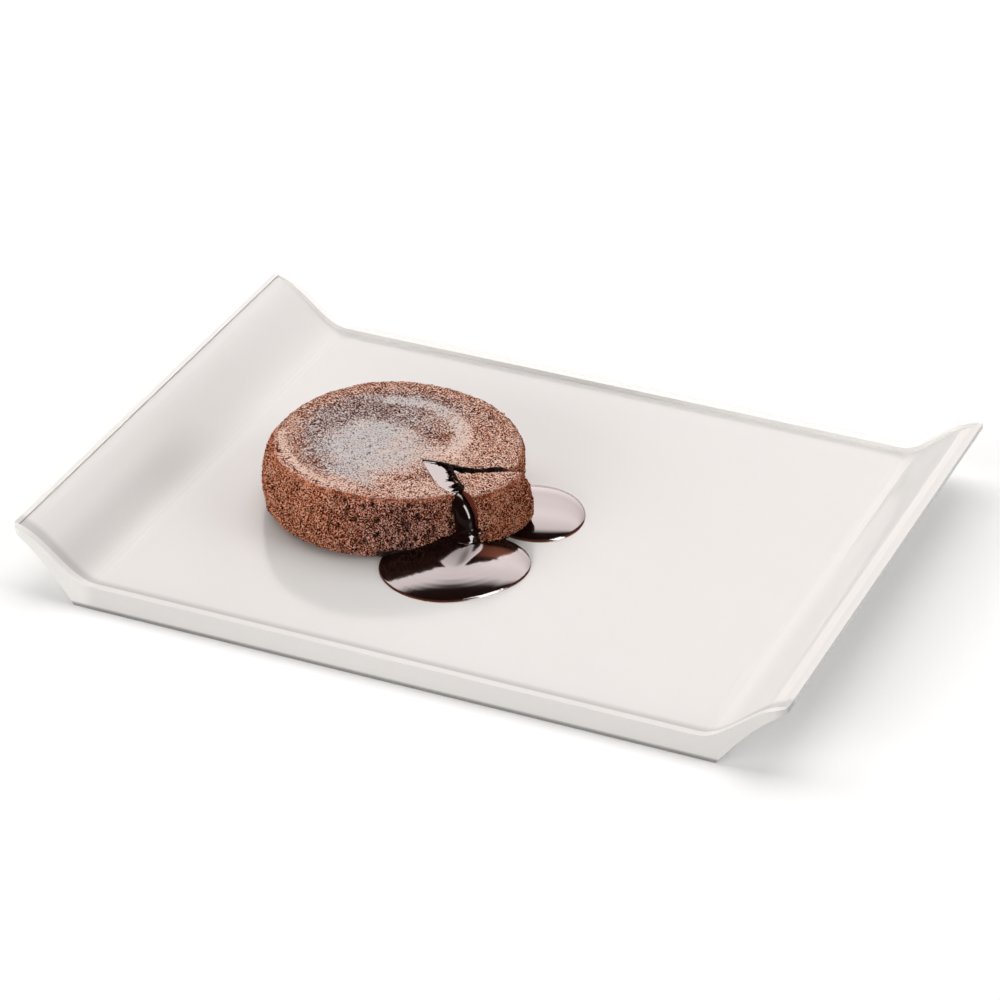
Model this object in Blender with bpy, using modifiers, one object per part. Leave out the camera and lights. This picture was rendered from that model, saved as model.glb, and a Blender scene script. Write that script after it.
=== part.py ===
"""A chocolate souffle with a molten centre, cut open on its white porcelain plate.

The plate is a rectangle whose two short ends sweep up. A round souffle cake stands left of its middle.
A wedge has been cut from the cake and pulled out a little, and the molten centre has filled the cut, run
down the front and spread in two pools. X runs along the plate, +Y is away from the diner and Z = 0 is the
table.
"""

import math

import bmesh
import bpy
from mathutils import Vector

MM = 0.001
GAP = 0.3 * MM
SKIM = 0.03 * MM
WELD = 0.01 * MM
CLEAR = 1.0 * MM
SHARP = math.radians(35)
ARC_STEPS = 24

PLATE_LENGTH = 250.0 * MM
PLATE_WIDTH = 180.8 * MM
FOOT_LENGTH = 208.8 * MM
TIP_HEIGHT = 23.2 * MM
TIP_UNDERSIDE = 21.4 * MM
BEND_LENGTH = 27.0 * MM
BEND_STEPS = 16
RIM_HEIGHT = 8.0 * MM
RIM_WIDTH = 2.4 * MM
TIP_RIM_WIDTH = 1.6 * MM
WELL_DEPTH = 1.8 * MM
WELL_DEPTH_AT_TIP = 0.7 * MM
CORNER_RADIUS = 3.5 * MM
EDGE_ROUNDING = 0.55 * MM
RECESS_DEPTH = 1.6 * MM
FOOT_RING_WIDTH = 9.0 * MM
UNDERSIDE_CURVE = 1.35

FLOOR = RIM_HEIGHT - WELL_DEPTH
CAKE_CENTRE = Vector((-36.7 * MM, -1.5 * MM))
CAKE_HEIGHT = 20.7 * MM
CAKE_TILT = Vector((-0.031, -0.041))
# Radius of the wall, from the rim of the top down to the base, at each share of the height.
CAKE_WALL = (
    (1.0, 37.4 * MM),
    (0.985, 38.1 * MM),
    (0.94, 39.1 * MM),
    (0.84, 40.7 * MM),
    (0.66, 41.9 * MM),
    (0.48, 42.3 * MM),
    (0.3, 42.1 * MM),
    (0.14, 41.2 * MM),
    (0.04, 39.6 * MM),
    (0.0, 38.4 * MM),
)
CAKE_STEPS = 128
CAKE_TOP_RINGS = 6
OVAL = 0.018
OVAL_TURN = math.radians(53)
LOBES = 0.025
LOBES_TURN = math.radians(-6.8)
WAVINESS = 0.35 * MM
# Beyond this radius the wall bellies out only on the side away from the cut, and stands upright beside it.
SHOULDER = 38.9 * MM
BELLY_HEADING = math.radians(190)

# Plan of the cut: the knife's front cut breaks off a little at the rim, and the back tore along a crack.
NOTCH_TIP = Vector((-25.2, -9.7)) * MM
FRONT_CUT = [Vector(point) * MM for point in ((-16.9, -19.0), (-12.9, -22.7), (-9.7, -24.1))]
FRONT_CUT_HEADING = math.radians(-20)
CRACK = [
    Vector(point) * MM
    for point in ((-18.8, -8.7), (-14.1, -8.1), (-9.9, -8.7), (-6.4, -6.2), (-2.8, -3.2), (2.3, -2.0))
]
CRACK_HEADING = math.radians(13)

# The wedge has lost its own tip to the molten centre, and stands pulled out from the cake.
WEDGE_PULL = 3.6 * MM
WEDGE_PULL_HEADING = math.radians(-17.5)
WEDGE_TIP = Vector((-13.6, -13.0)) * MM
WEDGE_FRONT = [
    Vector(point) * MM
    for point in ((-12.4, -15.6), (-8.3, -19.9), (-5.3, -22.3), (-2.4, -23.7))
]
WEDGE_FRONT_HEADING = math.radians(-20)
WEDGE_BACK = [
    Vector(point) * MM
    for point in ((-9.9, -11.8), (-5.6, -8.9), (-1.2, -6.1), (1.4, -4.4), (4.3, -3.0))
]
WEDGE_BACK_HEADING = math.radians(4)
CUT_REACH = 40 * MM

SAUCE_LEVEL = 20.5 * MM
SHEET_LEVEL = 13.0 * MM
POCKET_RADIUS = 36.2 * MM
POCKET_TURNS = (math.radians(-44), math.radians(-22))
SHEET_RADIUS = 35.5 * MM
SHEET_TURNS = (math.radians(-60), math.radians(20))
POOL_STEPS = 72
POOL_RINGS = 12
POOL_ROUNDNESS = 0.8
# Middle, radius and height of each pool, then its ovalness and a three-fold lobe, each with its heading.
FRONT_POOL = (Vector((-3.5, -33.7)) * MM, 21.4 * MM, 5.0 * MM)
FRONT_POOL_LOBES = (0.113, math.radians(35), 0.034, math.radians(47))
SIDE_POOL = (Vector((5.8, 5.9)) * MM, 16.8 * MM, 4.0 * MM)
SIDE_POOL_LOBES = (-0.043, math.radians(62), 0.022, math.radians(69))
BELOW_HALF = (70 * MM, 80 * MM)
# The stream over the lip of the cut: where its middle lies, its height over the floor, and its radius.
STREAM = (
    (-15.0 * MM, -15.6 * MM, 18.4 * MM, 1.6 * MM),
    (-10.2 * MM, -20.2 * MM, 18.1 * MM, 2.2 * MM),
    (-6.3 * MM, -23.4 * MM, 17.2 * MM, 2.5 * MM),
    (-4.1 * MM, -24.6 * MM, 14.2 * MM, 2.8 * MM),
    (-3.4 * MM, -24.8 * MM, 9.6 * MM, 2.9 * MM),
    (-2.9 * MM, -24.6 * MM, 4.4 * MM, 3.4 * MM),
    (-2.7 * MM, -24.5 * MM, 0.6 * MM, 4.2 * MM),
)

PORCELAIN = ((0.86, 0.84, 0.82, 1), 0.12)
CAKE_CRUMB = ((0.17, 0.062, 0.034, 1), 0.85)
DARK_SAUCE = ((0.022, 0.008, 0.006, 1), 0.08)


def clear_scene():
    for old in list(bpy.data.objects):
        bpy.data.objects.remove(old, do_unlink=True)


def new_collection(name):
    group = bpy.data.collections.new(name)
    bpy.context.scene.collection.children.link(group)
    return group


def new_material(name, look):
    colour, roughness = look
    material = bpy.data.materials.new(name)
    material.use_nodes = True
    shader = material.node_tree.nodes["Principled BSDF"]
    shader.inputs["Base Color"].default_value = colour
    shader.inputs["Roughness"].default_value = roughness
    shader.inputs["Metallic"].default_value = 0.0
    material.diffuse_color = colour
    return material


def add_object(name, data, group):
    thing = bpy.data.objects.new(name, data)
    group.objects.link(thing)
    return thing


def mesh_from(source, name, group):
    """The evaluated shape of an object as a closed mesh object, which takes the place of the first."""
    bpy.context.view_layer.update()
    graph = bpy.context.evaluated_depsgraph_get()
    mesh = bpy.data.meshes.new_from_object(source.evaluated_get(graph))
    cage = bmesh.new()
    cage.from_mesh(mesh)
    bmesh.ops.remove_doubles(cage, verts=cage.verts, dist=WELD)
    bmesh.ops.recalc_face_normals(cage, faces=cage.faces)
    cage.to_mesh(mesh)
    cage.free()
    place = source.matrix_world.copy()
    bpy.data.objects.remove(source, do_unlink=True)
    thing = add_object(name, mesh, group)
    thing.matrix_world = place
    return thing


def outline_solid(name, outline, low, high, group, standing=False):
    """A flat outline made solid between two levels, or between two places along Y where it stands up."""
    curve = bpy.data.curves.new(name + "_outline", "CURVE")
    curve.dimensions = "2D"
    curve.fill_mode = "BOTH"
    curve.extrude = (high - low) / 2
    spline = curve.splines.new("POLY")
    spline.points.add(len(outline) - 1)
    for point, (across, along) in zip(spline.points, outline):
        point.co = (across, along, 0, 1)
    spline.use_cyclic_u = True
    flat = add_object(name + "_outline", curve, group)
    if standing:
        flat.rotation_euler = (math.radians(90), 0, 0)
        flat.location = (0, (low + high) / 2, 0)
    else:
        flat.location = (0, 0, (low + high) / 2)
    return mesh_from(flat, name, group)


def combine(body, operation, other):
    modifier = body.modifiers.new(operation.lower() + "_" + other.name, "BOOLEAN")
    modifier.operation = operation
    modifier.solver = "EXACT"
    modifier.object = other


def as_cutter(thing):
    thing.hide_render = True
    thing.display_type = "WIRE"


def heading(angle):
    return Vector((math.cos(angle), math.sin(angle)))


def ease(share):
    return share * share * (3 - 2 * share)


def arc(centre, radius, start, end, steps):
    angles = [start + (end - start) * step / steps for step in range(steps + 1)]
    return [(centre[0] + radius * math.cos(a), centre[1] + radius * math.sin(a)) for a in angles]


def rounded_rectangle(half_length, half_width, radius, steps=6):
    outline = []
    for quarter in range(4):
        side_x = (1, -1, -1, 1)[quarter]
        side_y = (1, 1, -1, -1)[quarter]
        centre = (side_x * (half_length - radius), side_y * (half_width - radius))
        start = quarter * math.pi / 2
        outline += arc(centre, radius, start, start + math.pi / 2, steps)
    return outline


def moved_in(outline, gap):
    """A counter-clockwise outline with each side moved inwards by gap and its corners mitred."""
    moved = []
    for index, here in enumerate(outline):
        before = (here - outline[index - 1]).normalized()
        after = (outline[(index + 1) % len(outline)] - here).normalized()
        first = Vector((-before.y, before.x))
        second = Vector((-after.y, after.x))
        moved.append(here + (first + second) * gap / (1 + first.dot(second)))
    return moved


def plate_top(x):
    """Height of the plate's upper edge: level over the middle, then a soft double bend up to the tip."""
    start = PLATE_LENGTH / 2 - BEND_LENGTH
    share = min(max((abs(x) - start) / BEND_LENGTH, 0), 1)
    return RIM_HEIGHT + (TIP_HEIGHT - RIM_HEIGHT) * ease(share)


def plate_underside(x):
    share = min(max((abs(x) - FOOT_LENGTH / 2) / (PLATE_LENGTH - FOOT_LENGTH) * 2, 0), 1)
    return TIP_UNDERSIDE * (1 - (1 - share) ** UNDERSIDE_CURVE)


def well_floor(x):
    """Height of the eating surface, which sinks less below the edge line towards the tips."""
    start = PLATE_LENGTH / 2 - BEND_LENGTH
    share = min(max((abs(x) - start) / BEND_LENGTH, 0), 1)
    return plate_top(x) - WELL_DEPTH + (WELL_DEPTH - WELL_DEPTH_AT_TIP) * ease(share)


def bend_places(reach):
    """Places along X from the start of the bend to reach, evenly spaced."""
    start = PLATE_LENGTH / 2 - BEND_LENGTH
    return [start + (reach - start) * step / BEND_STEPS for step in range(BEND_STEPS + 1)]


def make_plate(parts, cutters):
    half = PLATE_LENGTH / 2
    foot = FOOT_LENGTH / 2
    under = [foot + (half - foot) * step / BEND_STEPS for step in range(BEND_STEPS + 1)]
    right = [(x, plate_underside(x)) for x in under]
    right += [(x, plate_top(x)) for x in reversed(bend_places(half))]
    left = [(-x, z) for x, z in reversed(right)]
    plate = outline_solid("plate", right + left, -PLATE_WIDTH / 2, PLATE_WIDTH / 2, parts, standing=True)

    frame = outline_solid(
        "plate_plan",
        rounded_rectangle(half + SKIM, PLATE_WIDTH / 2 + SKIM, CORNER_RADIUS),
        -CLEAR,
        TIP_HEIGHT + CLEAR,
        cutters,
    )
    as_cutter(frame)
    combine(plate, "INTERSECT", frame)

    reach = half - TIP_RIM_WIDTH
    floor = [(x, well_floor(x)) for x in bend_places(reach)]
    roof = TIP_HEIGHT + CLEAR
    well = [(-x, z) for x, z in reversed(floor)] + floor + [(reach, roof), (-reach, roof)]
    well_half = PLATE_WIDTH / 2 - RIM_WIDTH
    well_cutter = outline_solid("plate_well", well, -well_half, well_half, cutters, standing=True)
    as_cutter(well_cutter)
    combine(plate, "DIFFERENCE", well_cutter)

    ring = rounded_rectangle(foot - FOOT_RING_WIDTH, PLATE_WIDTH / 2 - FOOT_RING_WIDTH, 3 * CORNER_RADIUS)
    recess = outline_solid("plate_recess", ring, -CLEAR, RECESS_DEPTH, cutters)
    as_cutter(recess)
    combine(plate, "DIFFERENCE", recess)

    rounding = plate.modifiers.new("rounded_edges", "BEVEL")
    rounding.width = EDGE_ROUNDING
    rounding.segments = 2
    rounding.limit_method = "ANGLE"
    rounding.angle_limit = SHARP
    return plate


def lobed(radius, angle, oval, oval_turn, lobes, lobes_turn):
    """The radius at a heading, with an ovalness and a three-fold lobe added."""
    swell = oval * math.cos(2 * (angle - oval_turn)) + lobes * math.cos(3 * (angle - lobes_turn))
    return radius * (1 + swell)


def turned(name, profile, steps, group):
    """A profile of radius and height pairs, turned. It runs from the top's middle to the base's middle."""
    mesh = bpy.data.meshes.new(name + "_profile")
    cage = bmesh.new()
    verts = [cage.verts.new((radius, 0, height)) for radius, height in profile]
    for upper, lower in zip(verts, verts[1:]):
        cage.edges.new((upper, lower))
    cage.to_mesh(mesh)
    cage.free()
    line = add_object(name + "_profile", mesh, group)
    screw = line.modifiers.new("turn", "SCREW")
    screw.steps = steps
    screw.render_steps = steps
    screw.use_merge_vertices = True
    screw.merge_threshold = WELD
    return mesh_from(line, name, group)


def belly_of_cake(angle):
    """Share of the full belly that the wall has at this heading."""
    return 0.5 + 0.5 * math.cos(angle - BELLY_HEADING)


def belly_of_wedge(angle):
    """The wedge kept the full belly all round."""
    return 1.0


def cake_disc(name, shift, grow, belly, group):
    """The baked disc, moved by shift and larger by grow all round. belly gives its fullness by heading."""
    top = CAKE_HEIGHT + grow
    wall = []
    for share, radius in CAKE_WALL:
        wall.append((radius + grow, share * CAKE_HEIGHT + grow * (2 * share - 1)))
    rim = wall[0][0]
    shoulder = SHOULDER + grow
    flat = [(rim * ring / CAKE_TOP_RINGS, top) for ring in range(CAKE_TOP_RINGS)]
    base = [(wall[-1][0] / 2, -grow), (0, -grow)]
    disc = turned(name, flat + wall + base, CAKE_STEPS, group)
    for vertex in disc.data.vertices:
        angle = math.atan2(vertex.co.y, vertex.co.x)
        radius = math.hypot(vertex.co.x, vertex.co.y)
        share = vertex.co.z / CAKE_HEIGHT
        outwards = radius / rim
        radius = min(radius, shoulder) + max(radius - shoulder, 0) * belly(angle)
        ripple = math.sin(5 * angle + 9 * share) + math.sin(11 * angle + 1.7)
        ripple += math.sin(17 * angle - 13 * share)
        swell = lobed(radius, angle, OVAL, OVAL_TURN, LOBES, LOBES_TURN)
        place = (swell + WAVINESS / 3 * ripple * outwards**3) * heading(angle)
        unevenness = math.sin(3 * angle) + math.sin(7 * angle)
        height = vertex.co.z + share * CAKE_TILT.dot(place)
        height += share * WAVINESS / 3 * outwards**2 * unevenness
        vertex.co = (place.x, place.y, height)
    disc.location = (*(CAKE_CENTRE + shift), FLOOR + GAP)
    return disc


def notch_outline():
    """Plan of the cut, counter-clockwise from its tip: out along the knife's cut, back along the crack."""
    crack_end = CRACK[-1] + CUT_REACH * heading(CRACK_HEADING)
    front_end = FRONT_CUT[-1] + CUT_REACH * heading(FRONT_CUT_HEADING)
    return [NOTCH_TIP, *FRONT_CUT, front_end, crack_end] + CRACK[::-1]


def wedge_outline():
    front_end = WEDGE_FRONT[-1] + CUT_REACH * heading(WEDGE_FRONT_HEADING)
    back_end = WEDGE_BACK[-1] + CUT_REACH * heading(WEDGE_BACK_HEADING)
    return [WEDGE_TIP, *WEDGE_FRONT, front_end, back_end] + WEDGE_BACK[::-1]


def wedge_shift():
    return WEDGE_PULL * heading(WEDGE_PULL_HEADING)


def make_cake(parts, cutters):
    cake = cake_disc("souffle_cake", Vector((0, 0)), 0, belly_of_cake, parts)
    notch = outline_solid("cake_notch", notch_outline(), 0, 2 * CAKE_HEIGHT, cutters)
    as_cutter(notch)
    combine(cake, "DIFFERENCE", notch)
    return cake


def make_wedge(parts, cutters):
    wedge = cake_disc("cake_wedge", wedge_shift(), 0, belly_of_wedge, parts)
    keep = outline_solid("wedge_plan", wedge_outline(), 0, 2 * CAKE_HEIGHT, cutters)
    as_cutter(keep)
    combine(wedge, "INTERSECT", keep)
    return wedge


def clear_of_cake(cutters):
    """What the cake and the wedge fill, with room round them, for the sauce to be cut by."""
    around_cake = cake_disc("clear_of_cake", Vector((0, 0)), GAP, belly_of_cake, cutters)
    opening = outline_solid("sauce_notch", moved_in(notch_outline(), GAP), 0, 2 * CAKE_HEIGHT, cutters)
    combine(around_cake, "DIFFERENCE", opening)
    around_wedge = cake_disc("clear_of_wedge", wedge_shift(), GAP, belly_of_wedge, cutters)
    plan = outline_solid("around_wedge_plan", moved_in(wedge_outline(), -GAP), 0, 2 * CAKE_HEIGHT, cutters)
    combine(around_wedge, "INTERSECT", plan)
    for cutter in (around_cake, opening, around_wedge, plan):
        as_cutter(cutter)
    return around_cake, around_wedge


def pool(name, sizes, lobes, group):
    """A pool of sauce: a low dome with a full round edge where it meets the plate."""
    middle, radius, rise = sizes
    profile = []
    for ring in range(POOL_RINGS + 1):
        share = math.sin(math.pi / 2 * ring / POOL_RINGS)
        dome = (1 - share**2) ** POOL_ROUNDNESS
        profile.append((radius * share, (rise + GAP) * dome - GAP))
    profile += [(radius, -CLEAR), (0, -CLEAR)]
    lens = turned(name, profile, POOL_STEPS, group)
    for vertex in lens.data.vertices:
        angle = math.atan2(vertex.co.y, vertex.co.x)
        place = lobed(math.hypot(vertex.co.x, vertex.co.y), angle, *lobes) * heading(angle)
        vertex.co = (place.x, place.y, vertex.co.z)
    lens.location = (*middle, FLOOR + GAP)
    return lens


def stream(group):
    """The sauce that runs over the lip of the cut and down to the front pool."""
    curve = bpy.data.curves.new("stream_path", "CURVE")
    curve.dimensions = "3D"
    curve.bevel_depth = 1.0
    curve.bevel_resolution = 4
    curve.resolution_u = 6
    curve.use_fill_caps = True
    spline = curve.splines.new("BEZIER")
    spline.bezier_points.add(len(STREAM) - 1)
    for point, (x, y, z, radius) in zip(spline.bezier_points, STREAM):
        point.co = (x, y, FLOOR + z)
        point.radius = radius
        point.handle_left_type = "AUTO"
        point.handle_right_type = "AUTO"
    return mesh_from(add_object("stream_path", curve, group), "stream", group)


def slice_of_round(name, reach, turns, low, high, group):
    """A wedge-shaped block about the cake's middle, between two headings."""
    outline = [tuple(CAKE_CENTRE), *arc(CAKE_CENTRE, reach, *turns, ARC_STEPS)]
    return outline_solid(name, outline, low, high, group)


def make_sauce(parts, cutters, around):
    """The molten centre in one: pocket in the cut, sheet in the crack, stream and front pool."""
    sauce = pool("molten_sauce", FRONT_POOL, FRONT_POOL_LOBES, parts)
    low = FLOOR - CLEAR
    top = FLOOR + SAUCE_LEVEL
    pocket = slice_of_round("pocket", POCKET_RADIUS, POCKET_TURNS, low, top, cutters)
    top = FLOOR + SHEET_LEVEL
    sheet = slice_of_round("crack_sheet", SHEET_RADIUS, SHEET_TURNS, low - CLEAR, top, cutters)
    run = stream(cutters)
    block = rounded_rectangle(*BELOW_HALF, CORNER_RADIUS)
    below = outline_solid("below_the_sauce", block, -CLEAR, FLOOR + GAP, cutters)
    for joined in (pocket, sheet, run):
        combine(sauce, "UNION", joined)
    sauce.modifiers["union_stream"].use_self = True
    for taken in (below, *around):
        combine(sauce, "DIFFERENCE", taken)
    for cutter in (pocket, sheet, run, below):
        as_cutter(cutter)
    return sauce


def make_side_pool(parts, cutters, around):
    side = pool("side_sauce_pool", SIDE_POOL, SIDE_POOL_LOBES, parts)
    below = bpy.data.objects["below_the_sauce"]
    circle = arc(CAKE_CENTRE, SHEET_RADIUS + GAP, 0, math.tau, POOL_STEPS)[:-1]
    within = outline_solid("side_pool_limit", circle, 0, CAKE_HEIGHT, cutters)
    as_cutter(within)
    for taken in (below, *around, within):
        combine(side, "DIFFERENCE", taken)
    return side


def finish(thing, material):
    thing.data.materials.clear()
    thing.data.materials.append(material)
    thing.data.shade_smooth()
    thing.data.set_sharp_from_angle(angle=SHARP)


def build():
    clear_scene()
    parts = new_collection("souffle_on_plate")
    cutters = new_collection("cutters")
    porcelain = new_material("glazed_porcelain", PORCELAIN)
    crumb = new_material("chocolate_crumb", CAKE_CRUMB)
    chocolate = new_material("molten_chocolate", DARK_SAUCE)

    finish(make_plate(parts, cutters), porcelain)
    finish(make_cake(parts, cutters), crumb)
    finish(make_wedge(parts, cutters), crumb)
    around = clear_of_cake(cutters)
    finish(make_sauce(parts, cutters, around), chocolate)
    finish(make_side_pool(parts, cutters, around), chocolate)


build()
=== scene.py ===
import math
import random

import bmesh
import bpy
from mathutils import Matrix, Vector, noise


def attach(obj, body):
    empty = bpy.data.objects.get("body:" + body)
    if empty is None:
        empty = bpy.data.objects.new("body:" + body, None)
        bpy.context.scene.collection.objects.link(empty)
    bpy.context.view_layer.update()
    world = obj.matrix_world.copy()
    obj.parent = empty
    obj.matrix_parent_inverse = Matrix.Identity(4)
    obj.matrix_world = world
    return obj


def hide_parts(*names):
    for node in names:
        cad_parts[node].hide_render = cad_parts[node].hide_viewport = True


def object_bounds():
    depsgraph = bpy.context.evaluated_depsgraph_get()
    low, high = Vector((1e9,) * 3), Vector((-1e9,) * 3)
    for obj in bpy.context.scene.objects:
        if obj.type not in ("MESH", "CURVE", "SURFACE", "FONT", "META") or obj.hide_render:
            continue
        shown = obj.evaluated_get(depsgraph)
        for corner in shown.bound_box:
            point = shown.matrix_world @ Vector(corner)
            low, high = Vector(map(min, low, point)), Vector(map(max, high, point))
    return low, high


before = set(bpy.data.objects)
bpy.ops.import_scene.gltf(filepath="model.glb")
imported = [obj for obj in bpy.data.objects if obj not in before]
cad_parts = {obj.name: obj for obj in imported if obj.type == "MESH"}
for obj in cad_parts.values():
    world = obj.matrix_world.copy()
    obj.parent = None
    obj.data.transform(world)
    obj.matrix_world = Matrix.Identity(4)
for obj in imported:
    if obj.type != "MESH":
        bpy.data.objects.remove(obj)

cad_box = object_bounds()
MM = 0.001


# Camera: a long lens about 1.3 m away, in front of the plate and to its right, looking down at a shallow
# angle. Colours are shown as they are lit, with no film look over them.
AZIMUTH, ELEVATION = math.radians(23.82), math.radians(30.97)
EYE = (0.44157, -1.00678, 0.67268)
FOCAL_LENGTH, SENSOR_WIDTH = 148.6, 36
NEAREST, FARTHEST = 0.05, 20

backwards = Vector((
    math.sin(AZIMUTH) * math.cos(ELEVATION),
    -math.cos(AZIMUTH) * math.cos(ELEVATION),
    math.sin(ELEVATION),
))
rightwards = Vector((math.cos(AZIMUTH), math.sin(AZIMUTH), 0))
turn = Matrix((rightwards, backwards.cross(rightwards), backwards)).transposed().to_4x4()
camera_data = bpy.data.cameras.new("camera")
camera_data.lens = FOCAL_LENGTH
camera_data.sensor_width = SENSOR_WIDTH
camera_data.clip_start = NEAREST
camera_data.clip_end = FARTHEST
camera = bpy.data.objects.new("camera", camera_data)
bpy.context.scene.collection.objects.link(camera)
camera.matrix_world = Matrix.Translation(EYE) @ turn
bpy.context.scene.camera = camera
shown = bpy.context.scene.view_settings
shown.view_transform = "Standard"
shown.look = "None"
shown.exposure = 0
shown.gamma = 1


# Studio: matt white paper for a floor. Five softboxes light the plate from all round and show in no
# reflection. A tall panel behind and a strip on the right do the opposite: the sauce and the glaze mirror
# them, and they light nothing matt.
PAPER = (0.85, 0.85, 0.85, 1)
PAPER_GLOW = 0.08
PAPER_REACH = 4.0
AIMED_AT = Vector((0, 0, 0.02))
# Name, place, width and height, radiance, colour, and the rays that pass the light by.
LIGHTS = (
    ("top_softbox", (-0.10, 0.40, 1.66), (1.5, 1.45), 2.25, (1.0, 0.985, 0.975), "visible_glossy"),
    ("back_softbox", (0.10, 1.20, 1.00), (3.0, 1.7), 0.75, (1.0, 0.975, 0.96), "visible_glossy"),
    ("reflected_panel", (-0.505, 1.144, 0.95), (3.6, 2.40), 1.0, (1.0, 0.87, 0.85), "visible_diffuse"),
    ("left_softbox", (-1.25, 0.15, 1.25), (0.9, 0.9), 3.1, (1.0, 0.980, 0.96), "visible_glossy"),
    ("glint_strip", (1.30, -0.24, 0.80), (0.70, 1.50), 70, (1.0, 0.93, 0.90), "visible_diffuse"),
    ("right_softbox", (1.45, 0.15, 1.00), (0.9, 0.9), 3.9, (1.0, 0.985, 0.97), "visible_glossy"),
    ("front_softbox", (-0.60, -1.50, 0.48), (1.6, 0.9), 5.3, (1.0, 0.965, 0.945), "visible_glossy"),
)
# How the panel brightens from its foot to its top: a share of its height, and the radiance there.
PANEL_GLOW = ((0.0, 4.4), (0.28, 7.2), (0.44, 13.0), (0.58, 21.0), (0.84, 24.0), (1.0, 2.0))
ROOM_COLOUR, ROOM_LIGHT = (1, 0.99, 0.985, 1), 0.06


def add_piece(name, data):
    """An object with this mesh or curve, at the origin of the scene."""
    piece = bpy.data.objects.new(name, data)
    bpy.context.scene.collection.objects.link(piece)
    return piece


def mesh_of(cage, name):
    """A mesh with the shape of a bmesh, which is then freed."""
    mesh = bpy.data.meshes.new(name)
    cage.to_mesh(mesh)
    cage.free()
    return mesh


def principled(name):
    """A material, its node tree and its shader. The helpers that follow work in the tree called tree."""
    material = bpy.data.materials.new(name)
    material.use_nodes = True
    return material, material.node_tree, material.node_tree.nodes["Principled BSDF"]


def feed(socket, given):
    """Links an output socket to an input socket, or sets the input to a value."""
    if hasattr(given, "is_output"):
        tree.links.new(given, socket)
    else:
        socket.default_value = given


def add_node(kind, **inputs):
    """A shader node. Its inputs are sockets or values, with underscores for the spaces in their names."""
    made = tree.nodes.new("ShaderNode" + kind)
    for name, given in inputs.items():
        feed(made.inputs[name.replace("_", " ")], given)
    return made


def ramp_of(value, stops):
    """A colour ramp on a socket. Each stop is a place from 0 to 1 and a colour."""
    made = add_node("ValToRGB", Fac=value)
    while len(made.color_ramp.elements) < len(stops):
        made.color_ramp.elements.new(0.5)
    for element, (spot, colour) in zip(made.color_ramp.elements, stops):
        element.position = spot
        element.color = (*colour, 1)
    return made.outputs["Color"]


floor_cage = bmesh.new()
bmesh.ops.create_grid(floor_cage, x_segments=1, y_segments=1, size=PAPER_REACH)
floor = add_piece("paper_floor", mesh_of(floor_cage, "paper_floor"))
paper, tree, shader = principled("white_paper")
shader.inputs["Base Color"].default_value = PAPER
shader.inputs["Roughness"].default_value = 1.0
shader.inputs["Specular IOR Level"].default_value = 0.0
shader.inputs["Emission Color"].default_value = (1, 1, 1, 1)
shader.inputs["Emission Strength"].default_value = PAPER_GLOW
floor.data.materials.append(paper)

for name, stand_place, (width, height), radiance, colour, passed_by in LIGHTS:
    lamp = bpy.data.lights.new(name, "AREA")
    lamp.shape = "RECTANGLE"
    lamp.size = width
    lamp.size_y = height
    lamp.energy = radiance * math.pi * width * height
    lamp.color = colour
    stand = add_piece(name, lamp)
    stand.location = stand_place
    stand.rotation_euler = (AIMED_AT - Vector(stand_place)).to_track_quat("-Z", "Y").to_euler()
    setattr(stand, passed_by, False)

panel = bpy.data.lights["reflected_panel"]
panel.use_nodes = True
tree = panel.node_tree
over_panel = add_node("SeparateXYZ", Vector=add_node("NewGeometry").outputs["Parametric"])
glow = ramp_of(over_panel.outputs["Y"], [(share, (radiance,) * 3) for share, radiance in PANEL_GLOW])
feed(tree.nodes["Emission"].inputs["Strength"], glow)

world = bpy.data.worlds.new("studio")
bpy.context.scene.world = world
world.use_nodes = True
world.node_tree.nodes["Background"].inputs["Color"].default_value = ROOM_COLOUR
world.node_tree.nodes["Background"].inputs["Strength"].default_value = ROOM_LIGHT


# Plate: slip-cast porcelain under a clear glaze, warm white and a little uneven where the glaze ran in the
# kiln. Painted light lies on the left end and the back lip, and painted shade over the left half, in the
# groove under the front rim and in the left end's crease, with a painted contact shadow along the foot.
GLAZE_DARK, GLAZE_PALE = (0.572, 0.568, 0.556, 1), (0.604, 0.600, 0.590, 1)
GLAZE_SPECULAR = 0.032
GLAZE_ROUGHNESS = (0.10, 0.17)
GLAZE_RIPPLE = 0.6 * MM


def maths(operation, *values):
    """A Math node. Each value is a socket or a number."""
    made = add_node("Math")
    made.operation = operation
    for socket, given in zip(made.inputs, values):
        feed(socket, given)
    return made.outputs[0]


def product(first, *others):
    """Sockets or numbers multiplied together, from the left."""
    for other in others:
        first = maths("MULTIPLY", first, other)
    return first


def scaled(value, by, plus):
    """A socket times one socket or number, plus another."""
    return maths("MULTIPLY_ADD", value, by, plus)


def smooth(value, low, high, to_low=0.0, to_high=1.0):
    """Eases from to_low to to_high as value runs from low to high, each a socket or a number."""
    made = add_node("MapRange", Value=value, From_Min=low, From_Max=high, To_Min=to_low, To_Max=to_high)
    made.interpolation_type = "SMOOTHSTEP"
    return made.outputs["Result"]


def blend(share, first, second):
    """The first colour where share is 0 and the second where it is 1."""
    made = add_node("Mix")
    made.data_type = "RGBA"
    for name, given in (("Factor", share), ("A", first), ("B", second)):
        feed(made.inputs[name], given)
    return made.outputs["Result"]


def cloudy(scale, detail, roughness=0.5):
    """Soft noise over the piece, with scale patches to the metre."""
    return add_node("TexNoise", Vector=place, Scale=scale, Detail=detail, Roughness=roughness).outputs["Fac"]


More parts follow.
